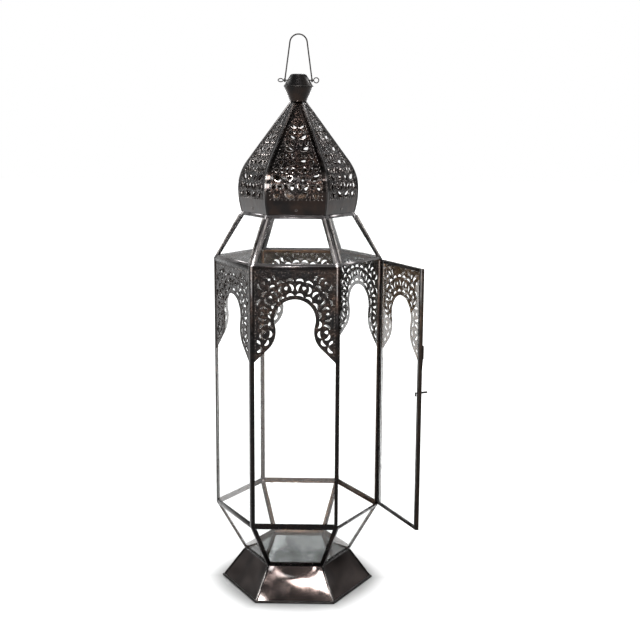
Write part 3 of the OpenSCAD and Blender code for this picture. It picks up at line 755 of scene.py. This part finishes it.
def facing_region(bm: BMesh, way: Vector) -> list[BMFace]:
    """Finds the smooth skin on one side of a sheet.

    Args:
        bm: The sheet.
        way: Direction that this side looks in.

    Returns:
        The faces of that skin in order, without the walls of its holes and edges.
    """
    bm.normal_update()
    bm.faces.index_update()
    across = beside(way).normalized()
    looks = [f for f in bm.faces if f.normal.dot(way) > FACES_OUT
             and abs(f.normal.dot(across)) < FACES_ASIDE]
    seed = max(looks, key=lambda f: f.calc_area())
    found = {seed}
    queue = [seed]
    while queue:
        face = queue.pop()
        for edge in face.edges:
            for other in edge.link_faces:
                if other not in found and other.normal.dot(face.normal) > SAME_SKIN:
                    found.add(other)
                    queue.append(other)
    return sorted(found, key=lambda face: face.index)


def raise_skin(bm: BMesh, skin: Sequence[BMFace], height: float) -> None:
    """Embosses the skin of a sheet, a little inside its outlines.

    Args:
        bm: The sheet.
        skin: Faces of its skin.
        height: Height of the embossing.
    """
    bmesh.ops.inset_region(bm, faces=skin, thickness=SKIN_INSET, depth=height, use_even_offset=True,
                           use_boundary=True)


def rim_loops(skin: Sequence[BMFace]) -> list[list[Vector]]:
    """Finds the closed outlines of a skin.

    Args:
        skin: Faces of the skin.

    Returns:
        The points of each outline, the longest outline first.
    """
    inside = set(skin)
    ways: dict[BMVert, BMVert] = {}
    for face in skin:
        for loop in face.loops:
            if sum(other in inside for other in loop.edge.link_faces) == 1:
                ways[loop.vert] = loop.link_loop_next.vert
    outlines = []
    while ways:
        first, after = ways.popitem()
        points = [first.co.copy()]
        while after is not first and after in ways:
            points.append(after.co.copy())
            after = ways.pop(after)
        outlines.append(points)
    return sorted(outlines, key=lambda points: -length_of(points))


def length_of(points: Sequence[Vector]) -> float:
    """Length of a closed outline."""
    return sum((a - b).length for a, b in zip(points, [*points[1:], points[0]]))


def add_lips(bm: BMesh, outlines: Iterable[Sequence[Vector]], radius: float) -> None:
    """Adds a raised round lip along each outline.

    Args:
        bm: The mesh it goes into.
        outlines: Closed outlines on the sheet's skin.
        radius: Radius of the lip.
    """
    curve = bpy.data.curves.new("lips", "CURVE")
    curve.dimensions = "3D"
    curve.bevel_depth = radius
    curve.bevel_resolution = 1
    for points in outlines:
        spline = curve.splines.new("POLY")
        spline.points.add(len(points) - 1)
        for point, place in zip(spline.points, points):
            point.co = (*place, 1.0)
        spline.use_cyclic_u = True
    holder = add_object("lips", curve)
    solid = bpy.data.meshes.new_from_object(holder.evaluated_get(bpy.context.evaluated_depsgraph_get()))
    bpy.data.objects.remove(holder)
    bpy.data.curves.remove(curve)
    absorb(bm, solid)


@dataclass
class Foot:
    """Flared six-sided foot of thin mirror-like sheet, with bright seams and a rolled hem."""

    palette: Palette
    dish: float = 0.0011
    cuts: int = 14
    seam_bead: float = 0.0007
    seam_edge: float = 0.0002
    hem_sides: int = 14
    hem_rings: int = 8
    rim_slope: float = 0.5

    def build(self) -> None:
        """Makes the panels, the seams, the hem and the tin floor."""
        for face in range(SIDES):
            self.panel(face)
        self.seams()
        self.hem()
        self.plate()

    def panel(self, face: int) -> None:
        """Makes one panel, dished a little between its edges.

        Args:
            face: Number of the face, counted from the front.
        """
        node = f"base_panel_{face + 1}"
        low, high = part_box(node)
        out = face_way(face)
        across = beside(out)
        bm = merged_copy(node)
        bmesh.ops.dissolve_limit(bm, angle_limit=FLAT_ANGLE, verts=bm.verts, edges=bm.edges)
        bm.normal_update()
        lean = max(bm.faces, key=lambda f: f.normal.dot(out) * f.calc_area()).normal.copy()
        bmesh.ops.subdivide_edges(bm, edges=bm.edges, cuts=self.cuts, use_grid_fill=True)
        for vert in bm.verts:
            side = vert.co.dot(across) * IN_RATIO / (vert.co.dot(out) * SIDE_RATIO)
            rise = (vert.co.z - low.z) / (high.z - low.z)
            vert.co -= lean * self.dish * max(0.0, 1.0 - side * side) * 4.0 * rise * (1.0 - rise)
        keep_piece(f"foot_panel_{face + 1}", bm, Body.LANTERN, Slot.FOOT, self.palette.foot,
                   stands_for=[node])

    def seams(self) -> None:
        """Makes the strips over the corners of the foot, with a thin bright bead along each."""
        low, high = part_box("base_seams")
        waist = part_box("floor_plate")[1].x
        bm = bmesh.new()
        for corner in range(SIDES):
            way = corner_way(corner)
            add_rod(bm, way * (high.x - self.seam_bead) + up(low.z), way * waist + up(high.z), self.seam_bead)
        keep_piece("foot_seam_beads", bm, Body.LANTERN, Slot.BRIGHT, self.palette.solder)
        strips = merged_copy("base_seams")
        soften(strips, self.seam_edge)
        keep_piece("foot_seam_strips", strips, Body.LANTERN, Slot.BRIGHT, self.palette.seam,
                   stands_for=["base_seams"])

    def hem(self) -> None:
        """Makes the rolled hem on which the lantern stands."""
        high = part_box("base_hem")[1]
        radius = high.z / 2
        reach = high.x - radius / IN_RATIO
        bm = bmesh.new()
        for corner in range(SIDES):
            start = corner_way(corner) * reach + up(radius)
            add_rod(bm, start, corner_way(corner + 1) * reach + up(radius), radius, self.hem_sides)
            bmesh.ops.create_uvsphere(bm, u_segments=self.hem_sides, v_segments=self.hem_rings, radius=radius,
                                      matrix=Matrix.Translation(start))
        keep_piece("rolled_hem", bm, Body.LANTERN, Slot.BRIGHT, self.palette.wire, stands_for=["base_hem"])

    def plate(self) -> None:
        """Makes the tin floor, whose rim is lacquered like the came on it."""
        bm = merged_copy("floor_plate")
        bm.normal_update()
        for face in bm.faces:
            face.material_index = int(abs(face.normal.z) < self.rim_slope)
        keep_piece("tin_floor", bm, Body.LANTERN, Slot.TIN, self.palette.tin, self.palette.came,
                   stands_for=["floor_plate"])


@dataclass
class Cames:
    """Folded metal strips that hold the glass of the cage, the body and the shoulder."""

    palette: Palette
    bead: float = 0.0011
    bead_sides: int = 8
    bead_aside: float = 0.0034
    bead_inset: float = 0.0040
    bead_reach: float = 0.0012
    bead_stop: float = 0.004
    blob: float = 0.0021
    blob_flat: float = 0.5
    blob_stray: float = 0.001
    soldered: tuple[int, ...] = (2, 3, 4, 5)
    seed: int = 7
    dark: tuple[str, ...] = ("lower_base_rails", "lower_top_rails", "lower_ribs", "body_bottom_rails",
                             "body_top_rails", *(f"post_{corner + 1}" for corner in range(SIDES)))
    bright: tuple[str, ...] = ("shoulder_base_rails", "shoulder_top_rails", "shoulder_ribs")

    def build(self) -> None:
        """Makes every strip with rounded edges, then the bead lines and the solder."""
        for node in self.dark:
            make_strip(node, Body.LANTERN, self.palette.came)
        for node in self.bright:
            make_strip(node, Body.LANTERN, self.palette.rib)
        self.bead_lines()
        self.solder()
        dress(self.palette.glass, "lower_glass", "shoulder_glass",
              *(f"body_glass_{number + 1}" for number in range(len(FIXED_FACES))))

    def bead_lines(self) -> None:
        """Adds the bright half-round beads along the shoulder's slanted corners."""
        low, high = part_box("shoulder_ribs")
        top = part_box("shoulder_top_rails")[1].z - self.bead_stop
        foot = high.x - self.bead_inset
        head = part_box("dome_ring")[1].x + self.bead_reach
        bm = bmesh.new()
        for corner in range(SIDES):
            way = corner_way(corner)
            for side in (-1, 1):
                aside = beside(way) * side * self.bead_aside
                start = way * foot + aside + up(low.z + self.bead_stop)
                add_rod(bm, start, way * head + aside + up(top), self.bead, self.bead_sides)
        keep_piece("shoulder_bead_lines", bm, Body.LANTERN, Slot.BRIGHT, self.palette.solder)

    def solder(self) -> None:
        """Adds worn drops of solder where the strips meet at the corners away from the door."""
        rng = random.Random(self.seed)
        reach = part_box("lower_top_rails")[1].x
        spots = []
        for level in (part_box("lower_top_rails")[1].z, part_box("shoulder_base_rails")[0].z):
            for corner in self.soldered:
                way = corner_way(corner)
                rise = up(level + rng.uniform(-self.blob_stray, self.blob_stray))
                spots.append((way * (reach - self.blob) + rise, way))
        bm = bmesh.new()
        add_beads(bm, spots, self.blob, self.blob_flat)
        keep_piece("corner_solder", bm, Body.LANTERN, Slot.BRIGHT, self.palette.solder, self.palette.solder)


@dataclass
class Valances:
    """Pierced and embossed arch sheets in front of the body's glass and on the door."""

    palette: Palette
    relief: float = 0.00022
    lip: float = 0.00045
    lip_lift: float = 0.3
    edge_lip: float = 1.3
    edge_lift: float = 0.1
    dot: float = 0.0009
    dot_flat: float = 0.45
    pitch: float = 0.0040
    row_drop: float = 0.0064
    column_inset: float = 0.0032

    def build(self) -> None:
        """Makes the five fixed sheets and the one on the door."""
        for number, face in enumerate(FIXED_FACES):
            self.sheet(f"valance_{number + 1}", face_way(face), Body.LANTERN, self.palette.pierced)
        self.sheet("door_valance", Vector(DOOR_OUT), Body.DOOR, self.palette.door_pierced)

    def sheet(self, node: str, out: Vector, body: Body, material: Material) -> None:
        """Embosses one sheet: raised skin, lips round its holes and rows of dots.

        Args:
            node: CAD node of the plain pierced sheet.
            out: Direction that its outer side looks in.
            body: Body that it rides on.
            material: Its finish.
        """
        bm = merged_copy(node)
        skin = facing_region(bm, out)
        outlines = rim_loops(skin)
        edge = [point + out * self.lip * self.edge_lift for point in outlines[0]]
        holes = [[point + out * self.lip * self.lip_lift for point in points] for points in outlines[1:]]
        raise_skin(bm, skin, self.relief)
        add_lips(bm, holes, self.lip)
        add_lips(bm, [edge], self.lip * self.edge_lip)
        self.dots(bm, outlines[0], out)
        keep_piece(f"{node}_embossed", bm, body, Slot.PIERCED, material, self.palette.dark_wear_and_glint,
                   stands_for=[node], smooth=CRISP)

    def dots(self, bm: BMesh, edge: Sequence[Vector], out: Vector) -> None:
        """Adds a row of dots under the rail and a column beside each post.

        Args:
            bm: The sheet's mesh.
            edge: Outer outline of the sheet.
            out: Direction that its outer side looks in.
        """
        across = beside(out)
        sides = [point.dot(across) for point in edge]
        levels = [point.z for point in edge]
        middle = (min(sides) + max(sides)) / 2
        half = max(sides) - middle - self.column_inset
        low = min(levels) + 2 * self.column_inset
        high = max(levels) - self.row_drop
        face = edge[0].dot(out) + self.relief
        count = round(2 * half / self.pitch)
        spots = [(-half + 2 * half * step / count, high) for step in range(count + 1)]
        count = round((high - low) / self.pitch)
        for step in range(1, count):
            level = high - (high - low) * step / count
            spots += [(-half, level), (half, level)]
        add_beads(bm, [(across * (middle + side) + out * face + up(level), out) for side, level in spots],
                  self.dot, self.dot_flat)


@dataclass(frozen=True)
class Profile:
    """Outline of the dome's skin, from its foot to its neck."""

    out: Vector
    levels: list[float]
    reaches: list[float]

    @classmethod
    def along(cls, edge: Iterable[Vector], out: Vector) -> "Profile":
        """Reads the outline off the edge of a panel.

        Args:
            edge: Points of the panel's edge.
            out: Direction that the panel looks in.

        Returns:
            The outline, with one point for each level.
        """
        steps = dict(sorted((round(point.z, 5), point.dot(out)) for point in edge))
        return cls(out, list(steps), list(steps.values()))

    def at(self, level: float) -> tuple[float, Vector]:
        """Finds the skin at a level.

        Args:
            level: Height above the floor.

        Returns:
            Its distance from the axis, and its outward normal.
        """
        upper = min(max(bisect_left(self.levels, level), 1), len(self.levels) - 1)
        rise = self.levels[upper] - self.levels[upper - 1]
        gain = self.reaches[upper] - self.reaches[upper - 1]
        reach = self.reaches[upper] + gain * (level - self.levels[upper]) / rise
        return reach, (self.out * rise - up(gain)).normalized()


@dataclass
class Dome:
    """Pierced onion dome of six curved panels under the spun finial."""

    palette: Palette
    relief: float = 0.00025
    lip: float = 0.00065
    lip_lift: float = 0.3
    dot: float = 0.0010
    pitch: float = 0.0050
    band: float = 0.019
    border: float = DOME_BORDER
    plain_top: float = 0.028

    def build(self) -> None:
        """Makes the panels, then dresses the seams, the ring and the rivets."""
        for face in range(SIDES):
            self.panel(face)
        dress(self.palette.seam, "dome_ribs")
        dress(self.palette.came, "dome_ring")
        dress(self.palette.wire, "dome_rivets")

    def panel(self, face: int) -> None:
        """Embosses one panel: raised skin, lips round its holes and rows of beads.

        Args:
            face: Number of the face, counted from the front.
        """
        node = f"dome_panel_{face + 1}"
        out = face_way(face)
        bm = merged_copy(node)
        skin = facing_region(bm, out)
        outlines = rim_loops(skin)
        profile = Profile.along(outlines[0], out)
        lift = self.lip * self.lip_lift
        holes = [[point + profile.at(point.z)[1] * lift for point in points] for points in outlines[1:]]
        raise_skin(bm, skin, self.relief)
        add_lips(bm, holes, self.lip)
        self.beads(bm, profile)
        keep_piece(f"{node}_embossed", bm, Body.LANTERN, Slot.PIERCED, self.palette.dome, self.palette.worn,
                   stands_for=[node], smooth=CRISP)

    def beads(self, bm: BMesh, profile: Profile) -> None:
        """Adds bead rows up both slanted sides and along the band at the panel's foot.

        Args:
            bm: The panel's mesh.
            profile: Outline of the panel.
        """
        across = beside(profile.out)
        level = profile.levels[0] + self.band
        half = profile.at(level)[0] * SIDE_RATIO / IN_RATIO - self.border
        count = round(2 * half / self.pitch)
        rows = [(-half + 2 * half * step / count, level) for step in range(1, count)]
        while half > self.pitch / 2 and level < profile.levels[-1] - self.plain_top:
            rows += [(-half, level), (half, level)]
            normal = profile.at(level)[1]
            level += self.pitch * math.hypot(normal.x, normal.y)
            half = profile.at(level)[0] * SIDE_RATIO / IN_RATIO - self.border
        spots = []
        for side, height in rows:
            reach, normal = profile.at(height)
            spots.append((across * side + profile.out * reach + up(height) + normal * self.relief, normal))
        add_beads(bm, spots, self.dot)


@dataclass
class Finial:
    """Two spun cones on the dome's neck, with the pin and the wire handle."""

    palette: Palette
    roll: float = 0.0007
    collar: float = 0.0104

    def build(self) -> None:
        """Dresses the cones, the pin and the handle, and adds the rolled rims."""
        dress(self.palette.finial, "finial_cup", "finial_cap")
        dress(self.palette.wire, "handle_pin", "bail")
        low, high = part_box("finial_cup")
        bm = bmesh.new()
        add_ring(bm, up(high.z), high.x - self.roll / 2, self.roll)
        keep_piece("finial_rim", bm, Body.LANTERN, Slot.BRIGHT, self.palette.wire)
        bm = bmesh.new()
        add_ring(bm, up(low.z + self.roll), self.collar, self.roll)
        keep_piece("finial_collar", bm, Body.LANTERN, Slot.BRIGHT, self.palette.finial)


@dataclass
class Door:
    """Glazed door on two hinges, with its pull and turning catch."""

    palette: Palette
    strips: tuple[str, ...] = ("door_hinge_stile", "door_latch_stile", "door_top_rail", "door_bottom_rail",
                               "door_pull")

    def build(self) -> None:
        """Makes the door's strips with rounded edges and dresses its fittings."""
        for node in self.strips:
            make_strip(node, Body.DOOR, self.palette.door_came)
        dress(self.palette.glass, "door_glass")
        dress(self.palette.came, "hinge_post_leaves")
        dress(self.palette.door_came, "door_hinge_leaves")
        dress(self.palette.wire, "hinge_pins", "turn_catch")


@dataclass(frozen=True)
class Lamp:
    """Soft rectangular lamp that looks at a point."""

    name: str
    place: Sequence[float]
    target: Vector
    size: tuple[float, float]
    level: float
    roll: float = 0.0

    def hang(self) -> None:
        """Adds the lamp to the scene."""
        light = bpy.data.lights.new(self.name, "AREA")
        light.shape = "RECTANGLE"
        light.size, light.size_y = self.size
        light.energy = math.pi * self.size[0] * self.size[1] * self.level
        holder = add_object(self.name, light)
        holder.location = self.place
        look = (self.target - Vector(self.place)).to_track_quat("-Z", "Y").to_matrix()
        holder.rotation_euler = (look @ Matrix.Rotation(self.roll, 3, "Z")).to_euler()


@dataclass
class Studio:
    """Pale floor, soft lamps, plain white surroundings and the camera."""

    eye: Colour = (0.0526, -1.3974, 0.6018)
    yaw: float = 0.0167
    pitch: float = -0.1728
    roll: float = -0.0062
    lens: float = 60.53
    sensor: float = 36.0
    floor_size: float = 12.0
    floor_level: float = -0.0002
    floor_albedo: float = 0.24
    foot_apothem: float = 0.0892
    # Width of the painted shadow round the foot
    shade: float = 0.036
    room_scale: float = 6.0

    def build(self) -> None:
        """Sets up everything round the lantern."""
        bpy.context.scene.view_settings.view_transform = "Standard"
        self.floor()
        self.surroundings()
        for lamp in self.lamps():
            lamp.hang()
        self.camera()

    def lamps(self) -> list[Lamp]:
        """Plans the lamps.

        Returns:
            The lamps, those for the front first.
        """
        foot = Vector((0.0, -0.08, 0.02))
        middle = up(0.4)
        lamps = [
            Lamp("front_softbox", (-0.150, -1.33, 1.18), foot, (0.11, 0.22), 95.0, roll=0.5),
            Lamp("foot_streak", (-0.005, -1.41, 1.09), foot, (0.10, 0.03), 70.0, roll=0.4),
            Lamp("front_glow", (-0.05, -1.45, 1.27), foot, (0.9, 0.6), 0.8),
            Lamp("front_fill", (-0.22, -1.5, 0.75), middle, (0.3, 0.25), 90.0),
            Lamp("left_strip", (-0.95, 0.95, 1.60), middle, (0.2, 0.3), 30.0),
            Lamp("right_strip", (0.95, 0.95, 1.60), middle, (0.2, 0.3), 30.0),
            Lamp("crown_spot", (-0.05, -0.42, 1.95), up(0.6), (0.25, 0.15), 60.0),
            Lamp("top_lamp", (0.2, 0.3, 2.2), middle, (1.6, 1.6), 3.0),
        ]
        for side in (-1.0, 1.0):
            lamps += [Lamp(f"low_lamp_{side:+.0f}", (1.3 * side, -0.75, 0.75), middle, (0.25, 0.25), 20.0),
                      Lamp(f"rear_lamp_{side:+.0f}", (0.55 * side, 1.5, 0.35), middle, (0.4, 0.4), 8.0)]
        for face in range(1, SIDES):
            place, target = (to_face(face) @ point for point in (Vector((-0.1, -1.35, 1.22)), foot))
            lamps.append(Lamp(f"high_lamp_{face}", place, target, (0.3, 0.2), 9.0, roll=0.5))
        return lamps

    def floor(self) -> None:
        """Makes the floor, which keeps the lantern's shadow from the lamps and has a painted shadow round the
        foot.
        """
        bm = bmesh.new()
        bmesh.ops.create_grid(bm, x_segments=1, y_segments=1, size=self.floor_size)
        mesh = bpy.data.meshes.new("pale_floor")
        bm.to_mesh(mesh)
        bm.free()
        mesh.materials.append(self.floor_finish())
        ground = add_object("pale_floor", mesh)
        ground.location.z = self.floor_level

    def floor_finish(self) -> Material:
        """Builds the floor's finish, a glowing white whose glow is turned down round the foot as a painted
        shadow.

        Returns:
            Its material.
        """
        sheet = Sheet("pale_floor")
        around = sheet.node("VectorMath", operation="LENGTH")
        sheet.join(sheet.place.outputs["Object"], around.inputs[0])
        reach = sheet.calc("MULTIPLY", sheet.calc("ADD", sheet.hexagon(), around.outputs["Value"]), 0.5)
        foot = self.foot_apothem
        # Painted shadow: the glow is nearly off at the foot and rises over a short and a longer span; the far
        # glow only keeps the distant floor evenly white
        painted_shadow_core = sheet.span(reach, 0.02, 0.62, start=foot, end=foot + self.shade, ease=True)
        painted_shadow_fringe = sheet.span(reach, 0.0, 0.30, start=foot, end=foot + 3 * self.shade)
        far = sheet.span(reach, 0.0, 0.6, start=0.3, end=2.0)
        sheet.put(Base_Color=(self.floor_albedo,) * 3, Roughness=0.9, Specular_IOR_Level=0.0,
                  Emission_Color=(1.0, 1.0, 1.0))
        sheet.feed("Emission Strength", sheet.calc("ADD", sheet.calc("ADD", painted_shadow_core, painted_shadow_fringe), far))
        return sheet.material

    def surroundings(self) -> None:
        """Makes the white surroundings, dimmer as a lamp than they look and cloudy in mirrors."""
        world = bpy.data.worlds.new("white_room")
        bpy.context.scene.world = world
        world.use_nodes = True
        tree = world.node_tree
        back = tree.nodes["Background"]
        fill(back, Color=(1.0, 1.0, 1.0))
        path, place, cloud, room, diffuse, glossy = (
            tree.nodes.new(f"ShaderNode{kind}")
            for kind in ("LightPath", "TexCoord", "TexNoise", *["MapRange"] * 3))
        fill(cloud, Scale=self.room_scale, Detail=1.0)
        fill(room, From_Min=0.35, From_Max=0.65, To_Min=0.1, To_Max=1.1)
        fill(diffuse, To_Min=1.0, To_Max=0.4)
        for source, target in (
                (place.outputs["Generated"], cloud.inputs["Vector"]),
                (cloud.outputs["Fac"], room.inputs["Value"]),
                (path.outputs["Is Diffuse Ray"], diffuse.inputs["Value"]),
                (path.outputs["Is Glossy Ray"], glossy.inputs["Value"]),
                (diffuse.outputs["Result"], glossy.inputs["To Min"]),
                (room.outputs["Result"], glossy.inputs["To Max"]),
                (glossy.outputs["Result"], back.inputs["Strength"])):
            tree.links.new(source, target)

    def camera(self) -> None:
        """Adds the camera where the photograph was taken."""
        data = bpy.data.cameras.new("camera")
        data.sensor_width = self.sensor
        data.lens = self.lens
        holder = add_object("camera", data)
        turn = (Matrix.Rotation(self.yaw, 3, "Z") @ Matrix.Rotation(self.pitch, 3, "X")
                @ Matrix.Rotation(self.roll, 3, "Y"))
        look = turn @ Matrix.Rotation(math.pi / 2, 3, "X")
        holder.matrix_world = Matrix.Translation(self.eye) @ look.to_4x4()
        bpy.context.scene.camera = holder


def main() -> None:
    """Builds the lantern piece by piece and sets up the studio."""
    logging.basicConfig(level=logging.INFO, format="%(message)s")
    palette = Palette.mix()
    for part in (Foot, Cames, Valances, Dome, Finial, Door):
        part(palette).build()
    Studio().build()


if __name__ == "__main__":
    main()
